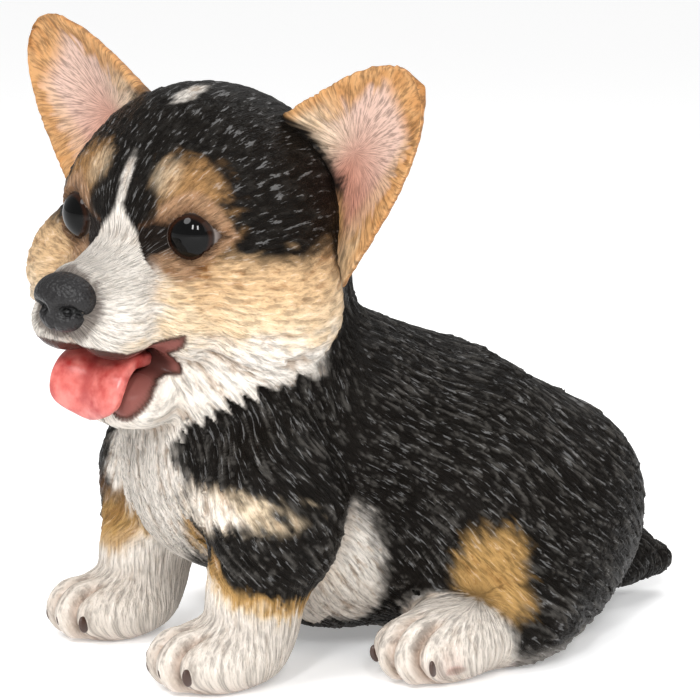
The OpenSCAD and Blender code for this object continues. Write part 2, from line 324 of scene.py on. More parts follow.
# Toes: three clefts across each paw, fanned out from the ankle
toe_cleft = np.zeros(count)
toe_top = np.zeros(count)
TOES = (-0.75, -0.24, 0.24, 0.75)
FEET = [(x, y, 0, 14.0) for x, y in PAWS.values()]
FEET += [(side * HIND_ACROSS, 4, side * HIND_SWING, 13.0) for side in (1, -1)]
for x, y, swing, half in FEET:
    c, s = cos(radians(swing)), sin(radians(swing))
    rel = spots[:, :2] - (x, y)
    aside = rel[:, 0] * c + rel[:, 1] * s
    ahead = -(-rel[:, 0] * s + rel[:, 1] * c)
    inside = (np.abs(aside) < 17) & (ahead > 0) & (ahead < 24) & (spots[:, 2] < 20)
    fan = aside / (1 + 0.012 * (ahead - 12))
    front = ease(3, 9, ahead) * inside
    for line in (-0.48, 0, 0.48):
        gap = np.exp(-(((fan - line * half) / 0.95) ** 2))
        toe_cleft = np.maximum(toe_cleft, gap * front)
    for middle in TOES:
        bulge = np.exp(-(((fan - middle * half) / 2.6) ** 2)) * ease(6, 12, ahead) * inside
        toe_top = np.maximum(toe_top, bulge)
standing = ease(0.2, 3.0, spots[:, 2])
spots += normals * ((1.3 * toe_top - 2.0 * toe_cleft) * standing)[:, None]

# How hollow each point is, so that creases are left smooth and get painted shade
ends = np.empty(len(skin.data.edges) * 2, dtype=np.int64)
skin.data.edges.foreach_get("vertices", ends)
ends = ends.reshape(-1, 2)
ends = np.concatenate([ends, ends[:, ::-1]])
beside_count = np.maximum(np.bincount(ends[:, 0], minlength=count), 1)


def evened(values, times):
    """Each value becomes the mean of its neighbours, this many times over."""
    for _ in range(times):
        values = np.bincount(ends[:, 0], values[ends[:, 1]], count) / beside_count
    return values


around_it = np.stack([evened(spots[:, axis], 4) for axis in range(3)], axis=1)
crease = evened(np.einsum("ij,ij->i", around_it - spots, normals), 3)
crease = evened(ease(0.03, 0.16, crease), 2)


def spin_about(points, across, along, swing=0):
    """Angle and distance about an upright axis, zero straight ahead."""
    rel = points[:, :2] - (across, along)
    angle = np.arctan2(rel[:, 0], -rel[:, 1]) - radians(swing)
    return angle, np.hypot(rel[:, 0], rel[:, 1])


# The lie of the hair: how far across and along it each point is
spine_along = np.array([0, 0.887, -0.462])
spine_up = np.array([0, 0.462, 0.887])
from_neck = spots - (0, -20, 66)
along_back = from_neck @ spine_along
sided = np.tanh(spots[:, 0] / 32)
round_back = np.arctan2(spots[:, 0], from_neck @ spine_up + 12) * 40
sway = 1.3 * np.sin(along_back / 9 + round_back / 14)
back_lie = np.stack([round_back - 0.24 * along_back * sided + sway, along_back], axis=1)
angle, _ = spin_about(spots, 0, -12)
sway = 1.5 * np.sin(spots[:, 2] / 6.5 + angle * 3)
chest_lie = np.stack([angle * 33 + 0.55 * spots[:, 2] * np.tanh(spots[:, 0] / 16) + sway,
                      -spots[:, 2] + 6 * np.abs(angle)], axis=1)
around_face = np.arctan2(face[:, 0], face[:, 2] + 5)
out_face = np.hypot(face[:, 0], face[:, 2] + 5)
face_lie = np.stack([around_face * 25, 0.8 * out_face + 0.8 * (face[:, 1] + 57)], axis=1)
foot_lie = np.zeros((count, 2))
for px, py, swing, _ in FEET:
    angle, far = spin_about(spots, px, py + 11, swing)
    mine = np.hypot(spots[:, 0] - px, spots[:, 1] - py - 6) < 26
    foot_lie[mine] = np.stack([angle * 14, 0.8 * far - 0.8 * spots[:, 2]], axis=1)[mine]

above_collar = spots[:, 2] - collar_at(spots)
headed = ease(-3, 3, above_collar)
below_face = 1 - headed
ruff_line = spots[:, 2] - 55 - 0.75 * (np.abs(spots[:, 0] + 1) - 12) - 0.17 * (spots[:, 1] + 55)
front_body = ease(-2, -20, spots[:, 1] + 0.25 * (60 - spots[:, 2])) * below_face
low_leg = ease(-18, -26, spots[:, 1]) * ease(30, 22, spots[:, 2])
hind_foot = ease(26, 14, spots[:, 1]) * ease(-26, -18, spots[:, 1]) * ease(30, 36, np.abs(spots[:, 0])) \
    * ease(26, 18, spots[:, 2])
feet = np.clip(low_leg + hind_foot, 0, 1) * below_face
share = {
    "face": headed * ease(20, 2, face[:, 1]),
    "feet": feet,
    "chest": np.clip(front_body - feet, 0, 1),
}
share["back"] = np.clip(1 - sum(share.values()), 0, 1)
lies = {"face": face_lie, "feet": foot_lie, "chest": chest_lie, "back": back_lie}


def chance(*keys):
    """A fixed number between 0 and 1 for each set of whole keys."""
    mixed = np.zeros(len(keys[0]), dtype=np.int64)
    for number, key in enumerate(keys):
        mixed = (mixed + key.astype(np.int64) * (374761393, 668265263, 982451653)[number]) & 0x7FFFFFFF
        mixed = ((mixed ^ (mixed >> 13)) * 1274126177) & 0x7FFFFFFF
    return ((mixed ^ (mixed >> 15)) % 65536) / 65535


def tufts(lie, width, length, strands, seed):
    """Overlapping pointed tufts along the hair: their height and their strands."""
    across, along = lie[:, 0] / width, lie[:, 1] / length
    column = np.floor(across)
    best = np.zeros(len(lie))
    line = np.zeros(len(lie))
    for beside in (-1, 0, 1):
        this = column + beside
        start = chance(this, this * 0 + seed, this)
        for before in (-1, 0):
            row = np.floor(along + start) + before
            one = chance(this, row, this * 0 + seed + 1)
            two = chance(this, row, this * 0 + seed + 2)
            run = (along + start - row - 0.35 * one) / 1.6
            off = across - this - 0.5 - 0.6 * (one - 0.5) - 1.1 * (two - 0.5) * run ** 2
            half = 0.95 * np.clip(1 - run, 0, 1) ** 0.65 * ease(-0.15, 0.3, run) + 1e-6
            height = np.clip(1 - (off / half) ** 2, 0, 1) * (0.3 + 0.7 * run) * (run > 0) * (run < 1)
            ahead = height > best
            best = np.where(ahead, height, best)
            line = np.where(ahead, np.cos(pi * strands * off / half + 6 * one), line)
    return best, line


def coat_of(width, length, strands, seed):
    """The same tufts over the whole dog, each part along its own lie."""
    high, line = np.zeros(count), np.zeros(count)
    for name, weight in share.items():
        best, strand = tufts(lies[name], width, length, strands, seed)
        high += best * weight
        line += strand * weight
    return high, line


def locks(width, length, seed):
    """Softer waves of hair of this width and length along the hair."""
    total = np.zeros(count)
    for name, weight in share.items():
        lie = lies[name]
        flat = np.full(count, seed * 3.7)
        bend = grain(np.stack([lie[:, 0] / (width * 4), lie[:, 1] / length, flat], 1), seed + 7)
        where = np.stack([(lie[:, 0] + (bend - 0.5) * width * 5) / width, lie[:, 1] / length, flat], 1)
        total += (1 - np.abs(2 * grain(where, seed) - 1)) * weight
    return total


long_tuft, long_strand = coat_of(4.6, 12.0, 3.0, 5)
short_tuft, short_strand = coat_of(2.7, 7.5, 2.0, 9)
fine_tuft, fine_strand = coat_of(1.9, 5.2, 1.0, 13)
mid = locks(1.7, 6.0, 11)
small = locks(1.15, 4.5, 19)

muzzle = headed * ease(-27, -36, face[:, 1]) * ease(26, 18, face[:, 2])
ruff = headed * ease(-4, -16, face[:, 2] + 4 * long_tuft) * ease(-38, -30, face[:, 1])
bib = ease(-30, -40, spots[:, 1]) * ease(22, 32, spots[:, 2]) * below_face
long_hair = np.clip(bib + ruff, 0, 1)
on_face = headed * (1 - ruff)
inside_lid = ease(1.05, 1.9, lid_edge)
inside = np.where(np.abs(face[:, 0]) < THROAT_HALF + 0.3, THROAT + 0.8, MOUTH_CORNER + 0.3)
mouth_wall = on_head * (face[:, 1] < inside) * (np.abs(face[:, 0]) < GRIN_HALF) \
    * (face[:, 2] < lip_height(UPPER_LIP, face[:, 1]) + 0.3) \
    * (face[:, 2] > lip_height(LOWER_LIP, face[:, 1]) - 0.3)

depth_long = 1.25 * long_hair
depth_short = 0.95 * (1 - 0.85 * on_face) * (1 - 0.75 * muzzle)
depth_short = depth_short * (1 - 0.75 * feet) * (1 - 0.5 * long_hair)
relief = depth_long * (long_tuft - 0.4 + 0.16 * long_strand)
relief += depth_short * (short_tuft - 0.4 + 0.2 * short_strand)
relief += (0.34 - 0.22 * muzzle - 0.16 * feet) * (small - 0.5)
relief += 0.5 * on_face * (1 - 0.6 * muzzle) * (fine_tuft - 0.4)
# The ruff's locks stand proud of the shoulder
overhang = ruff_line + 5 * (long_tuft - 0.5)
relief += 1.1 * ease(-1.3, 1.3, overhang) * ease(13, 3, overhang) * ease(12, 20, np.abs(spots[:, 0] + 1)) \
    * ease(-12, -26, spots[:, 1]) * ease(12, 2, above_collar) * ease(-30, -18, spots[:, 0])
relief = relief * inside_lid * (1 - mouth_wall) * ease(0.0, 2.0, spots[:, 2]) * (1 - 0.85 * crease)
spots += normals * relief[:, None]
# Where the relief folds over itself, it is smoothed out again
for _ in range(3):
    skin.data.vertices.foreach_set("co", spots.ravel())
    skin.data.update()
    turned_to = values_of(skin.data.vertex_normals, "vector")
    folded = np.einsum("ij,ij->i", turned_to, normals) < 0.3
    folded = np.clip(evened(folded.astype(float), 2) * 4, 0, 1)[:, None]
    calm = np.stack([evened(spots[:, axis], 3) for axis in range(3)], axis=1)
    spots = spots * (1 - folded) + calm * folded
spots[:, 2] = np.maximum(spots[:, 2], 0.0)

# ---------------------------------------------------------------------------
# Coat paint. Satin acrylic over the casting: black back and skull with grey
# dry-brushed hair tips that also stand in as painted glints, tan brows, cheeks
# and leg borders, a white blaze, muzzle, bib and feet, and pink worked in at
# the toes, with painted shade in the hollows, creases and mouth. Laid on in turns.
BLACK = (0.0074, 0.0060, 0.0048)
WHITE = (0.80, 0.74, 0.67)
CREAM = (0.78, 0.62, 0.43)
TAN = (0.50, 0.28, 0.11)
GOLD = (0.42, 0.25, 0.09)
BROWN = (0.10, 0.045, 0.02)
ROSE = (0.34, 0.20, 0.115)
PINK = (0.74, 0.42, 0.38)
GUM = (0.36, 0.13, 0.11)
BROW = (0.31, 0.17, 0.07)
SHADED_WHITE = (0.56, 0.50, 0.44)
FRONT_MOUTH_SHADE, LIP, MOUTH_SHADE = (0.06, 0.03, 0.025), (0.12, 0.06, 0.045), (0.05, 0.02, 0.016)
NOSE_FRINGE, LID_LINE = (0.06, 0.035, 0.025), (0.012, 0.008, 0.006)
DRY_BRUSH_GLINT = (0.048, 0.045, 0.041)
paint = np.tile(np.array(BLACK), (count, 1))
ragged = (mid - 0.5) * 0.7 + (small - 0.5) * 0.6 + (long_tuft - 0.45) * long_hair


def brush(colour, amount):
    """Lays a colour over the paint, as thickly as the amount says."""
    global paint
    amount = np.clip(amount, 0, 1)[:, None]
    paint = paint * (1 - amount) + np.array(colour) * amount


def dab(points, at, radii, soft=0.22, fray=0.3):
    """A patch of paint with hair-shaped edges, strong in the middle."""
    away = np.linalg.norm((points - at) / radii, axis=1) + ragged * fray
    return ease(1 + soft, 1 - soft, away)


# The head, in its own frame
x, y, z = face.T
h = on_head.astype(float)
under = ease(9, 3, z + 0.12 * np.abs(x) + ragged * 4)
cheeks = under * ease(10, -2, y + ragged * 5)
brush(TAN, h * cheeks)
brush(CREAM, h * cheeks * (0.35 + 0.55 * ease(-2, -17, z + ragged * 6)))
for side in (1, -1):
    brush(BROW, h * dab(face, (side * 15, -26, 18.5), (9.0, 11, 7.2), 0.45, 0.7) * 0.95)
    brush(BROW, h * dab(face, (side * 19.5, -22, 8.5), (6.5, 9, 8.5), 0.45, 0.6) * 0.9)
    brush(CREAM, h * dab(face, (side * 10, -28, 20.5), (3.5, 6, 4.5), 0.5, 0.3) * 0.35)
brush(WHITE, h * ease(-12, -20, z + ragged * 5) * ease(4, -6, y + ragged * 5))
brush(CREAM, h * cheeks * dab(face, (0, -46, -10), (24, 27, 18), 0.3, 0.4) * 0.8)
snout = dab(face, (0, -48, -9), (19, 23.5, 16.5), 0.18, 0.3)
brush(WHITE, h * snout)
blaze_width = 0.8 + 11 * ease(15, -3, z)
blaze_middle = -0.05 * np.clip(z - 20, 0, None) ** 2
brush(WHITE, h * ease(blaze_width + 1.5, blaze_width - 0.4, np.abs(x - blaze_middle) + ragged * 1.5)
      * (y < -8) * ease(27, 20, z + ragged * 5))
brush(WHITE, h * dab(face, (0, -6, 36.5), (3.0, 7.5, 3.5), 0.5, 0.9) * 0.75)
fringe = np.linalg.norm((face - (0, -55.5, -6.5)) / (11.5, 9, 11.0), axis=1)
brush(NOSE_FRINGE, h * ease(1.08, 0.86, fringe + ragged * 0.25) * 0.75)
brush(ROSE, h * ease(1.62, 1.3, round_eye + ragged * 0.12) * 0.85)
for side in (1, -1):
    inner = dab(face, (side * 7.8, -31, 11), (2.6, 7, 8.5), 0.3, 0.3)
    brush(BLACK, h * inner * 0.92)
brush(BROWN, h * ease(0.20, 0.0, lid_gap) * 0.55)
brush(LID_LINE, h * ease(0.02, -0.07, lid_gap))
lower_lip = lip_height(LOWER_LIP, face[:, 1]) - face[:, 2]
brush(BROWN, h * (face[:, 1] < MOUTH_CORNER + 0.5) * (face[:, 1] > -42) * ease(1.6, 0.5, lower_lip)
      * (lower_lip > -0.6) * (np.abs(face[:, 0]) > 6) * 0.6)

# The body, from the bib to the hind feet
x, y, z = spots.T
b = 1 - h
brush(WHITE, b * dab(spots, (-2, -60, 44), (25, 22, 34), 0.15, 0.28))
brush(WHITE, b * dab(spots, (0, -54, 66), (18, 17, 14), 0.15, 0.25))
brush(BLACK, b * dab(spots, (29, -44, 56), (17, 15, 7.0), 0.25, 0.5) * (x > 0))
brush(CREAM, b * dab(spots, (33, -45, 43.5), (19, 17, 7.6), 0.3, 0.5) * 0.9)
brush(WHITE, b * dab(spots, (29, -47, 43.5), (16, 15, 6.2), 0.35, 0.5) * 0.8)
brush(WHITE, b * ease(-0.8, 0.8, ruff_line + 6 * (long_tuft - 0.5)) * ease(-14, -24, y + ragged * 5)
      * ease(-36, -26, x))
for side, (px, py) in PAWS.items():
    leg = ease(18, 15, np.abs(x - px)) * (y < -14) * b
    brush(BLACK, leg * dab(spots, (px + side * 8, py + 8, 34), (15, 19, 9), 0.2, 0.35) * (x * side > 10))
    hem = 32.5 - 0.45 * side * (x - px) - 0.25 * np.clip(y - py, -3, 20)
    brush(GOLD, leg * ease(hem + 1.5, hem - 1.5, z + ragged * 5) * 0.95)
    brush(CREAM, leg * ease(hem - 1.5, hem - 5.0, z + ragged * 6) * 0.8)
    brush(WHITE, leg * ease(hem - 3.0, hem - 8.0, z + ragged * 6))
    brush(WHITE, b * dab(spots, (px + side * -2, -12, 22), (9, 9, 22), 0.3, 0.35) * 0.85)
brush(GOLD, b * dab(spots, (-23.5, -54, 31), (10, 11, 10), 0.35, 0.5) * 0.9)
brush(BROWN, b * dab(spots, (-27, -52, 39), (9, 10, 4), 0.5, 0.6) * 0.6)
for side in (1, -1):
    hock = dab(spots, (side * 47, 19.5, 23.5), (15, 10, 12.5), 0.35, 0.55)
    brush(GOLD, b * hock)
    foot = dab(spots, (side * 49, 3, 6), (20, 20, 15.5), 0.12, 0.2)
    brush(WHITE, b * foot * (z < 24))
    brush(PINK, b * dab(spots, (side * 59.5, -1, 7), (5, 5.5, 4.5), 0.5, 0.3) * 0.55)
    brush(BROWN, b * dab(spots, (side * 61, 1.5, 5), (3, 3.4, 1.6), 0.5, 0.3) * 0.7)
underside = ease(8, 3, z + ragged * 3) * (y > -30) * (y < 60)
brush(WHITE, b * underside * 0.25)

# Pink at the toes, a brown wash with painted shade in the hollows and painted
# shade in the creases, dry-brushed hair tips that are also painted glints, and
# the inside of the mouth with its dark lips and painted shade
brush(PINK, b * feet * np.clip(toe_cleft * 1.2, 0, 1) * 0.38)
brush(PINK, b * feet * ease(5, 0, z) * 0.35)
# Painted shade: the white low on the legs and feet is dimmed to a greyer white
brush(SHADED_WHITE, b * ease(26, 16, z) * (paint.min(axis=1) > 0.4) * 0.75)
lightness = paint.mean(axis=1)
coil = short_tuft + 0.25 * short_strand
coil = coil + on_face * (fine_tuft + 0.15 * fine_strand - coil)
coil = coil + long_hair * (long_tuft + 0.25 * long_strand - coil)
# A brown wash that is also painted shade: pale paint darkened between the locks of hair and in the creases
hollow = ease(0.42, 0.02, coil * 0.75 + (small - 0.5) * 0.4)
wash_and_shade_tint = np.array((0.42, 0.30, 0.20))
wash_and_shade = ease(0.08, 0.3, lightness) * hollow * (0.62 - 0.4 * muzzle - 0.35 * feet)
wash_and_shade = np.clip(wash_and_shade + 0.6 * crease * ease(0.08, 0.3, lightness) * (1 - mouth_wall), 0, 1)
paint = paint * (1 - wash_and_shade[:, None] * (1 - wash_and_shade_tint))
# Dry-brushed grey hair tips on the dark coat, which also serve as painted glints on the ridges
tips = ease(1.0, 1.4, coil + (small - 0.5) * 1.5)
dry_brush_and_glint = (1 - ease(0.05, 0.2, lightness)) * tips * (1 - 0.8 * on_face)
paint = paint + dry_brush_and_glint[:, None] * np.array(DRY_BRUSH_GLINT)
brush(GUM, h * mouth_wall)
# Painted shade under the upper lip at the front of the mouth
brush(FRONT_MOUTH_SHADE, h * mouth_wall * ease(-43, -47, face[:, 1]) * 0.9)
lip_rim = evened(mouth_wall.astype(float), 3)
brush(LIP, h * ease(0.12, 0.4, lip_rim) * ease(0.98, 0.7, lip_rim) * 0.8)
brush(MOUTH_SHADE, h * mouth_wall * ease(-38, -29, face[:, 1]) * ease(14, 11, np.abs(face[:, 0])) * 0.8)

# ---------------------------------------------------------------------------
# Castings. The painted skin is parted into the castings that are bonded
# together: head, lower jaw, forelegs, hind feet, tail and body. Each is closed
# where it was parted and keeps the whole skin's shading, for a hairline seam.
skin.data.vertices.foreach_set("co", (to_frame(spots)).ravel())
skin.data.update()


def add_values(mesh, name, values):
    """Values per vertex that the paint reads."""
    values = np.asarray(values, float)
    if values.ndim == 2 and values.shape[1] == 3:
        kept = mesh.attributes.new(name, "FLOAT_VECTOR", "POINT")
        kept.data.foreach_set("vector", values.ravel())
    else:
        kept = mesh.attributes.new(name, "FLOAT", "POINT")
        kept.data.foreach_set("value", values.ravel())


add_values(skin.data, "paint", paint)
for name, weight in share.items():
    add_values(skin.data, "lie_" + name, np.column_stack([lies[name], np.full(count, 1.0)]))
    # Little stroke weight in the mouth, so the coat's stroke shade darkens its inside as painted shade
    add_values(skin.data, "on_" + name, weight * (1 - 0.9 * mouth_wall))
matt = 0.52 - 0.14 * (1 - ease(0.05, 0.25, paint.mean(axis=1))) + 0.1 * muzzle
matt = matt - 0.3 * h * mouth_wall
add_values(skin.data, "matt", matt)
add_values(skin.data, "whole", values_of(skin.data.vertex_normals, "vector"))

quads = np.empty(len(skin.data.polygons) * 4, dtype=np.int64)
skin.data.loops.foreach_get("vertex_index", quads)
quads = quads.reshape(-1, 4)
middle = spots[quads].mean(axis=1)
mx, my, mz = middle.T
fy, fz = to_head(middle)[:, 1:].T
upper = mz > collar_at(middle)
jaw = (fy < MOUTH_CORNER - 1.5) & (fz > -46) & (mz > 55)
fore = ~upper & (my < -24) & (mz < 34)
hind = ~upper & (my > -20) & (my < 28) & (mz < 19)
CASTINGS = {
    "body": ~upper,
    "head": upper,
    "lower_jaw": jaw & (fz < 0.5 * (lip_height(UPPER_LIP, fy) + lip_height(LOWER_LIP, fy))),
    "left_foreleg": fore & (mx > 16),
    "right_foreleg": fore & (mx < -10),
    "left_hind_foot": hind & (mx > 35),
    "right_hind_foot": hind & (mx < -35),
    "tail": ~upper & (my > 84) & (mz < 26),
}
casting = np.zeros(len(quads), dtype=np.int64)
for number, where in enumerate(CASTINGS.values()):
    casting[where] = number
shells = {}


def close_openings(mesh):
    """Closes each opening with a fan of faces to the middle of its rim."""
    loose = {e for e in mesh.edges if e.is_boundary}
    while loose:
        rim = {loose.pop()}
        reached = list(rim)
        while reached:
            edge = reached.pop()
            touching = {e for v in edge.verts for e in v.link_edges} & loose
            loose -= touching
            rim |= touching
            reached += touching
        corners = {v for e in rim for v in e.verts}
        middle = sum((v.co for v in corners), Vector()) / len(corners)
        centre = mesh.verts.new(middle)
        for edge in rim:
            loop = edge.link_loops[0]
            mesh.faces.new((loop.link_loop_next.vert, loop.vert, centre))


for number, name in enumerate(CASTINGS):
    pick(skin)
    bpy.ops.object.duplicate()
    part = bpy.context.object
    part.name = name + "_casting"
    worked = bmesh.new()
    worked.from_mesh(part.data)
    worked.faces.ensure_lookup_table()
    others = [f for f in worked.faces if casting[f.index] != number]
    bmesh.ops.delete(worked, geom=others, context="FACES")
    close_openings(worked)
    worked.to_mesh(part.data)
    worked.free()
    shells[name] = part
bpy.data.objects.remove(skin)


def paint_node(material, kind, **values):
    """One shader node, with its settings and its sockets set by name."""
    node = material.node_tree.nodes.new(kind)
    for key, value in values.items():
        if hasattr(node, key):
            setattr(node, key, value)
        else:
            node.inputs[key.replace("_", " ")].default_value = value
    return node


def new_material(name, colour=(0.5, 0.5, 0.5), roughness=0.5):
    material = bpy.data.materials.new(name)
    material.use_nodes = True
    surface = material.node_tree.nodes["Principled BSDF"]
    surface.inputs["Base Color"].default_value = (*colour, 1)
    surface.inputs["Roughness"].default_value = roughness
    return material, surface


def wire(material, source, output, target, socket):
    material.node_tree.links.new(source.outputs[output], target.inputs[socket])


def math_of(material, operation, first, second):
    """first and second are (node, output) pairs."""
    node = paint_node(material, "ShaderNodeMath", operation=operation)
    wire(material, *first, node, 0)
    wire(material, *second, node, 1)
    return node, 0


def hair_strokes(material, attribute, spread):
    """Fine strokes along the hair: noise drawn out by this much each way."""
    lay = paint_node(material, "ShaderNodeAttribute", attribute_name=attribute)
    drawn_out = paint_node(material, "ShaderNodeVectorMath", operation="MULTIPLY")
    wire(material, lay, "Vector", drawn_out, 0)
    drawn_out.inputs[1].default_value = spread
    hair = paint_node(material, "ShaderNodeTexNoise", Scale=1.0, Detail=3.0, Roughness=0.62)
    wire(material, drawn_out, 0, hair, "Vector")
    return hair, 0


def stroke_shaded_paint(material, strokes, **levels):
    """The paint attribute, lighter and darker with the strokes, as painted highlight and shade along the
    hair.
    """
    colour = paint_node(material, "ShaderNodeAttribute", attribute_name="paint")
    shade = paint_node(material, "ShaderNodeMapRange", **levels)
    wire(material, *strokes, shade, "Value")
    stroke_shaded = paint_node(material, "ShaderNodeVectorMath", operation="SCALE")
    wire(material, colour, "Color", stroke_shaded, 0)
    wire(material, shade, 0, stroke_shaded, "Scale")
    return stroke_shaded


def raise_by(material, surface, source, output, depth, **values):
    """A bump of this depth in millimetres."""
    rise = paint_node(material, "ShaderNodeBump", Distance=depth * MM, **values)
    wire(material, source, output, rise, "Height")
    wire(material, rise, "Normal", surface, "Normal")


def speckled(material, kind, **values):
    """A pattern that stays fixed to the piece."""
    place = paint_node(material, "ShaderNodeTexCoord")
    pattern = paint_node(material, kind, **values)
    wire(material, place, "Object", pattern, "Vector")
    return pattern


# The coat's finish: satin acrylic with fine brush strokes along the hair, painted
# shade and highlight along the strokes, and bright painted glints on their crests
coat, surface = new_material("Painted coat")
surface.inputs["Specular IOR Level"].default_value = 0.06
strokes = None
for name in share:
    weight = paint_node(coat, "ShaderNodeAttribute", attribute_name="on_" + name)
    part = math_of(coat, "MULTIPLY", hair_strokes(coat, "lie_" + name, (1.25, 0.20, 1.0)), (weight, "Fac"))
    strokes = part if strokes is None else math_of(coat, "ADD", strokes, part)
stroke_shaded = stroke_shaded_paint(coat, strokes, From_Min=0.38, From_Max=0.53, To_Min=0.62, To_Max=1.06)
# Painted glints: thin bright flecks added to the colour where the strokes are highest
painted_glint = paint_node(coat, "ShaderNodeMapRange", From_Min=0.585, From_Max=0.64, To_Max=0.10)
wire(coat, *strokes, painted_glint, "Value")
glinted_paint = paint_node(coat, "ShaderNodeVectorMath", operation="ADD")
wire(coat, stroke_shaded, 0, glinted_paint, 0)
wire(coat, painted_glint, 0, glinted_paint, 1)
wire(coat, glinted_paint, 0, surface, "Base Color")
sheen = paint_node(coat, "ShaderNodeAttribute", attribute_name="matt")
wire(coat, sheen, "Fac", surface, "Roughness")
raise_by(coat, surface, *strokes, 1.5, Strength=1.0)


def finish_piece(piece, node, material):
    """Puts the piece on the frame in place of its CAD part."""
    if not piece.data.materials:
        piece.data.materials.append(material)
    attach(piece, "root")
    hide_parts(node)


for part in shells.values():
    whole = values_of(part.data.attributes["whole"].data, "vector")
    part.data.attributes.remove(part.data.attributes["whole"])
    part.data.shade_smooth()
    part.data.normals_split_custom_set_from_vertices([tuple(n) for n in whole])

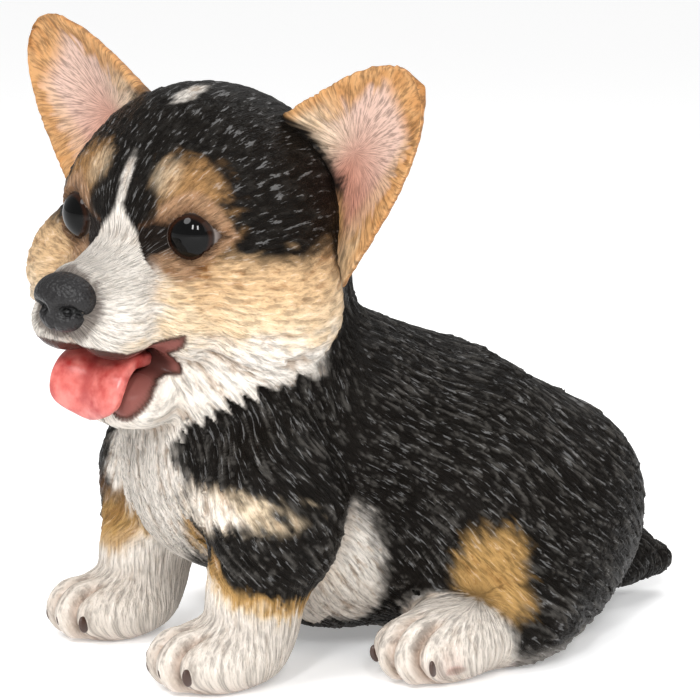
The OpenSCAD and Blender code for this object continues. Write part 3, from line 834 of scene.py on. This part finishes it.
# ---------------------------------------------------------------------------
# Ears. Two cupped blades with a thick rolled rim, bonded to the sides of the
# skull. Orange-tan hair on the rim, pink skin in the cup, cream tufts at the
# front root, and the dark coat on the back.
EAR_ROOT = (29.5, 6.0, 11.0)
EAR_LENGTH, EAR_ROOT_HALF, EAR_SWEEP = 39.8, 22.4, 17.0
EAR_OUT, EAR_UP = 0.911, 0.412
EAR_ORANGE, EAR_SKIN, EAR_DEEP = (0.44, 0.20, 0.065), (0.60, 0.42, 0.35), (0.44, 0.18, 0.12)
EAR_BACK = (0.055, 0.045, 0.04)
for side, label in ((1, "left"), (-1, "right")):
    rows, around = 150, 220
    climb = np.linspace(-0.22, pi / 2, rows)[:, None]
    turn = np.linspace(0, 2 * pi, around, endpoint=False)[None, :]
    t = np.sin(climb)
    e = np.cos(turn) + 0 * climb
    front = -np.sin(turn) + 0 * climb
    half = EAR_ROOT_HALF * np.clip(np.cos(climb), 0, 1) ** 0.88 * (1 - 0.2 * np.sqrt(np.abs(t)))
    thick = 6.4 * (1 - 0.5 * np.abs(t)) * (0.35 + 0.65 * np.sqrt(np.clip(np.cos(climb), 0, 1)))
    dish = np.clip(1 - (e / 0.8) ** 2, 0, 1) * np.clip((0.9 - t) / 0.5, 0, 1) * (front > 0)
    profile = np.sign(front) * np.abs(front) ** 0.6
    up = EAR_SWEEP * t + half * e
    back = 9 * (1 - 0.75 * t) * (1 - e ** 2) - profile * thick / 2 + dish * 1.6
    out = EAR_LENGTH * t + 0 * e
    ear = np.stack([np.broadcast_to(v, e.shape) for v in (up, back, out)], axis=-1).reshape(-1, 3)
    e, t, front = (np.broadcast_to(v, (rows, around)).ravel() for v in (e, t, front))
    # Hair: short strokes that run out from the cup over the rim
    ray = np.arctan2(ear[:, 0] - 8, ear[:, 2] - 12)
    reach_out = np.hypot(ear[:, 0] - 8, ear[:, 2] - 12)
    swirl = grain(np.stack([ray * 4, reach_out / 9, front * 0 + side * 5], 1), 41) - 0.5
    hair_at = np.stack([ray * 22 / 1.15 + swirl * 2.2, reach_out / 4.2, front * 1.5 + side * 9], 1)
    stroke = 1 - np.abs(2 * grain(hair_at, 43) - 1)
    hair_at = np.stack([ray * 22 / 2.1 + swirl * 3, reach_out / 6.5, front * 1.5 + side * 19], 1)
    broad = 1 - np.abs(2 * grain(hair_at, 47) - 1)
    rim = np.maximum(ease(0.58, 0.82, np.abs(e) + (broad - 0.5) * 0.25), ease(0.7, 0.86, t))
    in_front = ease(-0.1, 0.25, front)
    cup = in_front * (1 - rim)
    rise_by = (0.42 * broad + 0.34 * stroke - 0.35) * (1 - 0.6 * cup)
    crown_root = in_front * ease(0.1, 0.5, e) * ease(0.5, 0.1, t)
    rise_by = rise_by + crown_root * (broad * 1.5)
    ear[:, 1] -= np.sign(front) * rise_by * np.abs(front) ** 0.3
    ear[:, 0] += e * rise_by * (1 - np.abs(front) ** 0.5)
    colour = np.tile(np.array(EAR_ORANGE), (len(ear), 1))

    def cover(tint, amount):
        global colour
        amount = np.clip(amount, 0, 1)[:, None]
        colour = colour * (1 - amount) + np.array(tint) * amount

    cover((0.60, 0.37, 0.18), in_front * 0.5 * broad)
    cover(EAR_SKIN, cup * 0.95)
    cover(EAR_DEEP, cup * ease(0.66, 0.15, t) * ease(0.6, 0.0, e) * 0.85)
    cover((0.66, 0.52, 0.37), crown_root * ease(0.96, 0.8, e) * 0.8)
    cover((0.60, 0.38, 0.20), cup * ease(0.35, 0.6, -e) * 0.5)
    lower_root = in_front * ease(0.34, 0.1, t + (broad - 0.5) * 0.2) * ease(0.35, 0.8, -e)
    cover((0.62, 0.44, 0.26), lower_root * 0.85)
    cover(EAR_BACK, ease(-0.25, -0.6, front + (broad - 0.5) * 0.3) * ease(0.97, 0.88, t))
    # Painted shade: the ear's hair is darker between the strokes
    tint = 1 - 0.25 * ease(0.5, 0.1, stroke) * (1 - 0.6 * cup)
    colour = colour * tint[:, None]
    local = np.stack([
        side * (EAR_ROOT[0] + EAR_OUT * ear[:, 2] - EAR_UP * ear[:, 0]),
        EAR_ROOT[1] + ear[:, 1],
        EAR_ROOT[2] + EAR_UP * ear[:, 2] + EAR_OUT * ear[:, 0],
    ], axis=1)
    off_skull = np.linalg.norm((local - (0, 2, 6)) / (34, 33, 31), axis=1) - 1
    hairline = ease(0.16, 0.03, off_skull + (broad - 0.5) * 0.05 + (stroke - 0.5) * 0.06)
    cover(BLACK, hairline * ease(6, 14, local[:, 2]))
    cover(TAN, hairline * ease(14, 6, local[:, 2]))
    placed = to_frame(from_head(local))
    ring = np.arange(around)
    nexts = (ring + 1) % around
    faces = []
    for row in range(rows - 1):
        low, high = row * around, (row + 1) * around
        block = np.stack([low + ring, low + nexts, high + nexts, high + ring], axis=1)
        faces += (block[:, ::-1] if side > 0 else block).tolist()
    root_cap = ring.tolist()
    tip_cap = (ring + (rows - 1) * around).tolist()
    faces += [root_cap if side > 0 else root_cap[::-1], tip_cap[::-1] if side > 0 else tip_cap]
    mesh = bpy.data.meshes.new(label + "_ear_blade")
    mesh.from_pydata(placed.tolist(), [], faces)
    mesh.shade_smooth()
    add_values(mesh, "paint", colour)
    add_values(mesh, "hair", np.stack([ray * 22 + swirl * 2.2, reach_out, front + side * 9], 1))
    shells[label + "_ear"] = new_piece(label + "_ear_blade", mesh)

ear_coat, surface = new_material("Painted ear", roughness=0.55)
surface.inputs["Specular IOR Level"].default_value = 0.2
strokes = hair_strokes(ear_coat, "hair", (1.3, 0.26, 1.0))
stroke_shaded = stroke_shaded_paint(ear_coat, strokes, From_Min=0.38, From_Max=0.56, To_Min=0.55, To_Max=1.12)
wire(ear_coat, stroke_shaded, 0, surface, "Base Color")
speckle = speckled(ear_coat, "ShaderNodeTexNoise", Scale=900.0, Detail=3.0)
raise_by(ear_coat, surface, speckle, 0, 0.2, Strength=0.6)

# ---------------------------------------------------------------------------
# Nose. A separate small casting pegged to the front of the muzzle: charcoal
# satin, finely pebbled, with comma-shaped nostrils and a cleft below them.
nose_clay = [lump((0, -54.6, -4.9), (8.2, 6.2, 6.0)), lump((0, -55.6, -9.4), (5.8, 4.6, 3.7))]
nose = model_clay("nose_leather", on_the_head(nose_clay), 0.0006)
finish_with(nose, "SUBSURF", levels=1, render_levels=1)
face = to_head(values_of(nose.data.vertices, "co") / MM)
pits = np.zeros(len(face))
for side in (1, -1):
    for across, up, size in ((3.2, -7.0, 1.8), (4.6, -6.6, 1.5), (5.8, -7.4, 1.1), (6.5, -8.4, 0.8)):
        away = np.hypot(face[:, 0] - side * across, (face[:, 2] - up) * 1.15) / size
        pits = np.maximum(pits, np.exp(-away ** 2) * (face[:, 1] < -52))
cleft = np.exp(-((face[:, 0] / 0.7) ** 2)) * ease(-7.5, -10, face[:, 2]) * (face[:, 1] < -54)
face[:, 1] += 2.6 * pits + 0.8 * cleft
nose.data.vertices.foreach_set("co", to_frame(from_head(face)).ravel())
nose.data.shade_smooth()
add_values(nose.data, "pit", pits)
nose_black, surface = new_material("Nose black", (0.012, 0.0115, 0.012), 0.42)
surface.inputs["Specular IOR Level"].default_value = 0.3
pebble = speckled(nose_black, "ShaderNodeTexVoronoi", Scale=1150.0)
raise_by(nose_black, surface, pebble, "Distance", 0.3, Strength=0.9, invert=True)
# Painted shade: the nostrils are darkened by their depth
nostril_shade = paint_node(nose_black, "ShaderNodeAttribute", attribute_name="pit")
ramp = paint_node(nose_black, "ShaderNodeMix", data_type="RGBA")
ramp.inputs[6].default_value = (0.013, 0.012, 0.0125, 1)
ramp.inputs[7].default_value = (0.002, 0.002, 0.002, 1)
wire(nose_black, nostril_shade, "Fac", ramp, 0)
wire(nose_black, ramp, 2, surface, "Base Color")
shells["nose"] = nose

# ---------------------------------------------------------------------------
# Tongue. One casting that lies on the lower jaw, hangs over the lip and curls
# down, hollowed along the middle. Coral enamel under a wet-looking glaze.
spine = np.array([(-22, -26.5), (-28, -25.6), (-34, -24.4), (-39, -23.6), (-43.4, -25.2),
                  (-46.2, -29.0), (-46.9, -33.2), (-45.6, -36.8)])
halves = np.array([6.0, 6.8, 8.2, 9.6, 10.4, 10.6, 9.2, 3.2])
depths = np.array([2.2, 2.6, 2.8, 2.9, 2.9, 2.7, 2.3, 1.0])
steps, around = 90, 96
fine_steps = np.linspace(0, len(spine) - 1, steps)


def eased_through(values):
    """A smooth run through the given stations."""
    base = np.clip(np.floor(fine_steps).astype(int), 0, len(values) - 2)
    f = fine_steps - base
    before = values[np.clip(base - 1, 0, len(values) - 1)]
    first, second = values[base], values[base + 1]
    after = values[np.clip(base + 2, 0, len(values) - 1)]
    return 0.5 * (2 * first + (second - before) * f
                  + (2 * before - 5 * first + 4 * second - after) * f ** 2
                  + (3 * first - before - 3 * second + after) * f ** 3)


path_y, path_z = eased_through(spine[:, 0]), eased_through(spine[:, 1])
half, depth = eased_through(halves), eased_through(depths)
run = np.gradient(path_y), np.gradient(path_z)
long = np.hypot(*run)
up_y, up_z = run[1] / long, -run[0] / long
turn = np.linspace(0, 2 * pi, around, endpoint=False)
e, lift = np.cos(turn)[None, :], np.sin(turn)[None, :]
hollow_by = 1.7 * np.exp(-((e / 0.42) ** 2)) - 0.9 * np.abs(e) ** 2
height = np.where(lift > 0, lift ** 0.7, -np.abs(lift) ** 0.8) * depth[:, None]
fade = np.linspace(0, 1, steps)
height = height - hollow_by * (lift > 0) * ((0.4 + 0.6 * fade) * ease(1.0, 0.8, fade))[:, None]
points = np.stack([
    half[:, None] * e,
    path_y[:, None] + up_y[:, None] * height,
    path_z[:, None] + up_z[:, None] * height,
], axis=-1)
tip = points[-1].mean(axis=0) + (0, 0.4, -1.2)
root = points[0].mean(axis=0)
points = np.concatenate([points.reshape(-1, 3), [root, tip]])
ring = np.arange(around)
nexts = (ring + 1) % around
faces = []
for row in range(steps - 1):
    low, high = row * around, (row + 1) * around
    faces += np.stack([low + ring, high + ring, high + nexts, low + nexts], axis=1).tolist()
last = (steps - 1) * around
faces += [[steps * around, a, b] for a, b in zip(ring.tolist(), nexts.tolist())]
faces += [[steps * around + 1, last + b, last + a] for a, b in zip(ring.tolist(), nexts.tolist())]
mesh = bpy.data.meshes.new("tongue_casting")
mesh.from_pydata(to_frame(from_head(points)).tolist(), [], faces)
mesh.shade_smooth()
# How deep in the middle groove each point is, for painted shade there
in_groove = np.exp(-((e / 0.16) ** 2)) * (lift > 0) * np.ones((steps, 1)) * 0.6
in_groove = in_groove * ease(0.98, 0.8, fade)[:, None]
add_values(mesh, "groove", np.concatenate([in_groove.ravel(), [0, 0]]))
shells["tongue"] = new_piece("tongue_casting", mesh)
worked = bmesh.new()
worked.from_mesh(mesh)
bmesh.ops.recalc_face_normals(worked, faces=worked.faces)
worked.to_mesh(mesh)
worked.free()
tongue_pink, surface = new_material("Tongue pink", (0.72, 0.13, 0.12), 0.34)
surface.inputs["Subsurface Weight"].default_value = 0.15
surface.inputs["Subsurface Radius"].default_value = (0.004, 0.0015, 0.001)
surface.inputs["Coat Weight"].default_value = 0.25
surface.inputs["Coat Roughness"].default_value = 0.18
blotch = speckled(tongue_pink, "ShaderNodeTexNoise", Scale=260.0, Detail=4.0)
ramp = paint_node(tongue_pink, "ShaderNodeMix", data_type="RGBA")
ramp.inputs[6].default_value = (0.42, 0.035, 0.03, 1)
ramp.inputs[7].default_value = (0.72, 0.20, 0.17, 1)
patchy = paint_node(tongue_pink, "ShaderNodeMapRange", From_Min=0.34, From_Max=0.66)
wire(tongue_pink, blotch, 0, patchy, "Value")
wire(tongue_pink, patchy, 0, ramp, 0)
# Painted shade: darker red down the groove along the middle
groove = paint_node(tongue_pink, "ShaderNodeAttribute", attribute_name="groove")
groove_shade = paint_node(tongue_pink, "ShaderNodeMix", data_type="RGBA")
groove_shade.inputs[7].default_value = (0.30, 0.02, 0.02, 1)
wire(tongue_pink, groove, "Fac", groove_shade, 0)
wire(tongue_pink, ramp, 2, groove_shade, 6)
wire(tongue_pink, groove_shade, 2, surface, "Base Color")
buds = speckled(tongue_pink, "ShaderNodeTexNoise", Scale=1300.0, Detail=2.0)
raise_by(tongue_pink, surface, buds, 0, 0.12, Strength=0.5)

# ---------------------------------------------------------------------------
# Eyes. Two glass balls set in the sockets behind the lids: a wide black
# pupil, a thin dark brown iris, and a touch of grey white at the corners.
eye_glass, surface = new_material("Eye glass", (0.004, 0.004, 0.004), 0.03)
surface.inputs["Specular IOR Level"].default_value = 0.17
gaze = paint_node(eye_glass, "ShaderNodeAttribute", attribute_name="gaze")
rings = paint_node(eye_glass, "ShaderNodeValToRGB")
wire(eye_glass, gaze, "Fac", rings, "Fac")
rings.color_ramp.elements[0].position = 0.21
rings.color_ramp.elements[0].color = (0.002, 0.002, 0.002, 1)
rings.color_ramp.elements[1].position = 0.245
rings.color_ramp.elements[1].color = (0.022, 0.008, 0.004, 1)
for position, tint in ((0.268, (0.018, 0.008, 0.005, 1)), (0.288, (0.03, 0.022, 0.018, 1)),
                       (0.31, (0.20, 0.17, 0.155, 1)), (0.40, (0.12, 0.09, 0.075, 1))):
    stop = rings.color_ramp.elements.new(position)
    stop.color = tint
wire(eye_glass, rings, "Color", surface, "Base Color")
for side, label in ((1, "left"), (-1, "right")):
    deselect_all()
    bpy.ops.mesh.primitive_uv_sphere_add(segments=96, ring_count=64, radius=EYE_RADIUS)
    ball = bpy.context.object
    ball.name = label + "_eye_ball"
    dots = values_of(ball.data.vertices, "co")
    swing = radians(EYE_SWING)
    ahead = np.array([side * sin(swing) + 0.02 + side * 0.04, -cos(swing), 0.03])
    ahead = ahead / np.linalg.norm(ahead)
    angle = np.arccos(np.clip(dots @ ahead / EYE_RADIUS, -1, 1)) / (pi / 2)
    centre = np.array([side * EYE_AT[0], EYE_AT[1], EYE_AT[2]])
    ball.data.vertices.foreach_set("co", to_frame(from_head(dots + centre)).ravel())
    add_values(ball.data, "gaze", angle * 0.5)
    ball.data.shade_smooth()
    shells[label + "_eye"] = ball

# ---------------------------------------------------------------------------
# Claws. Short dark horn-coloured claws set into the front of each toe, part
# of the paw castings and painted separately.
claw_horn, surface = new_material("Claw brown", (0.055, 0.028, 0.02), 0.35)
PAW_NAMES = ["left_foreleg", "right_foreleg", "left_hind_foot", "right_hind_foot"]
CLAW_SIZE, CLAW_HEIGHT, CLAW_LEAN = (0.8, 1.5, 2.3), 6.6, 18
for (across, along, swing, half), name in zip(FEET, PAW_NAMES):
    c, s = cos(radians(swing)), sin(radians(swing))
    for place_across in TOES:
        aside = place_across * half
        front = 16.4 if "fore" in name else 17.2
        ahead = front * (1 - 0.30 * place_across ** 2) - 1.5 + 0.6 * (abs(place_across) < 0.5)
        at = (across + aside * c + ahead * s, along + aside * s - ahead * c, CLAW_HEIGHT)
        deselect_all()
        bpy.ops.mesh.primitive_uv_sphere_add(segments=20, ring_count=12, radius=1)
        claw = bpy.context.object
        turn = Matrix.Rotation(radians(swing + place_across * 26), 4, "Z")
        lean = Matrix.Rotation(radians(CLAW_LEAN), 4, "X")
        size = Matrix.Diagonal((*CLAW_SIZE, 1))
        claw.data.transform(Matrix.Translation(to_frame(at)) @ turn @ lean @ size @ Matrix.Scale(MM, 4))
        claw.data.shade_smooth()
        claw.data.materials.append(claw_horn)
        claw.name = name + "_claw"
        paw = shells[name]
        if not paw.data.materials:
            paw.data.materials.append(coat)
        paw.select_set(True)
        bpy.context.view_layer.objects.active = paw
        bpy.ops.object.join()

# ---------------------------------------------------------------------------
# Dowel. A plain steel rod that pins the head to the body, out of sight; the
# CAD part itself is shown, with a drawn-steel finish.
dowel_steel, surface = new_material("Drawn steel", (0.56, 0.56, 0.58), 0.3)
surface.inputs["Metallic"].default_value = 1.0
drawn = speckled(dowel_steel, "ShaderNodeTexNoise", Scale=400.0, Detail=2.0)
raise_by(dowel_steel, surface, drawn, 0, 0.02, Strength=0.4)
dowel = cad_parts["neck_dowel"]
dowel.data.materials.clear()
dowel.data.materials.append(dowel_steel)

# Every piece gets its finish and takes the place of its CAD part
FINISHES = {
    "left_ear": ("ear_coat", ear_coat), "right_ear": ("ear_coat", ear_coat),
    "nose": ("nose_black", nose_black), "tongue": ("tongue_pink", tongue_pink),
    "left_eye": ("eye_glass", eye_glass), "right_eye": ("eye_glass", eye_glass),
    "body": ("black_coat", coat), "tail": ("black_coat", coat), "head": ("face_coat", coat),
}
for name, part in shells.items():
    slot, material = FINISHES.get(name, ("white_coat", coat))
    finish_piece(part, name, material)

# ---------------------------------------------------------------------------
# Setting. A plain white floor under soft studio light, and the camera well to
# the dog's left, looking slightly down on it.
deselect_all()
bpy.ops.mesh.primitive_plane_add(size=60)
floor = bpy.context.object
floor.name = "Floor"
plain, surface = new_material("White floor", (0.95, 0.95, 0.95), 0.8)
surface.inputs["Emission Color"].default_value = (1, 1, 1, 1)
surface.inputs["Emission Strength"].default_value = 0.26
floor.data.materials.append(plain)
floor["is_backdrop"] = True

world = bpy.data.worlds.new("Studio")
bpy.context.scene.world = world
world.use_nodes = True
world.node_tree.nodes["Background"].inputs[0].default_value = (1, 1, 1, 1)
world.node_tree.nodes["Background"].inputs[1].default_value = 0.42
AIM = Vector((-0.003, -0.0017, 0.074))


def place_at(thing, angle, height, far):
    """Stands a light or camera this far off, round and up from the front."""
    a, b = radians(angle), radians(height)
    towards = Vector((sin(a) * cos(b), -cos(a) * cos(b), sin(b)))
    placed = new_piece(thing.name, thing)
    placed.location = AIM + towards * far
    placed.rotation_euler = towards.to_track_quat("Z", "Y").to_euler()
    return placed


daylight = bpy.data.lights.new("Daylight", "SUN")
daylight.energy = 1.35
daylight.angle = radians(24)
place_at(daylight, 18, 50, 1.5)
for name, angle, height, far, wide, tall, power in (
    ("Window one", 52, 30, 1.0, 0.09, 0.26, 3.6), ("Window two", 72, 28, 1.0, 0.09, 0.24, 3.0),
    ("Fill", 115, 30, 1.0, 0.6, 0.6, 1.2), ("Back", 205, 55, 0.9, 0.5, 0.5, 3.0),
):
    panel = bpy.data.lights.new(name, "AREA")
    panel.shape = "RECTANGLE"
    panel.size, panel.size_y = wide, tall
    panel.energy = power
    place_at(panel, angle, height, far)

camera = place_at(bpy.data.cameras.new("Camera"), 63, 10, 0.80)
camera.data.sensor_width = 36
camera.data.lens = 159.5
camera.data.clip_start = 0.01
bpy.context.scene.camera = camera

bpy.context.scene.view_settings.view_transform = "Standard"
boxes = {"cad": cad_box, "visual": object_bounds()}
boxes = {name: [list(corner) for corner in box] for name, box in boxes.items()}
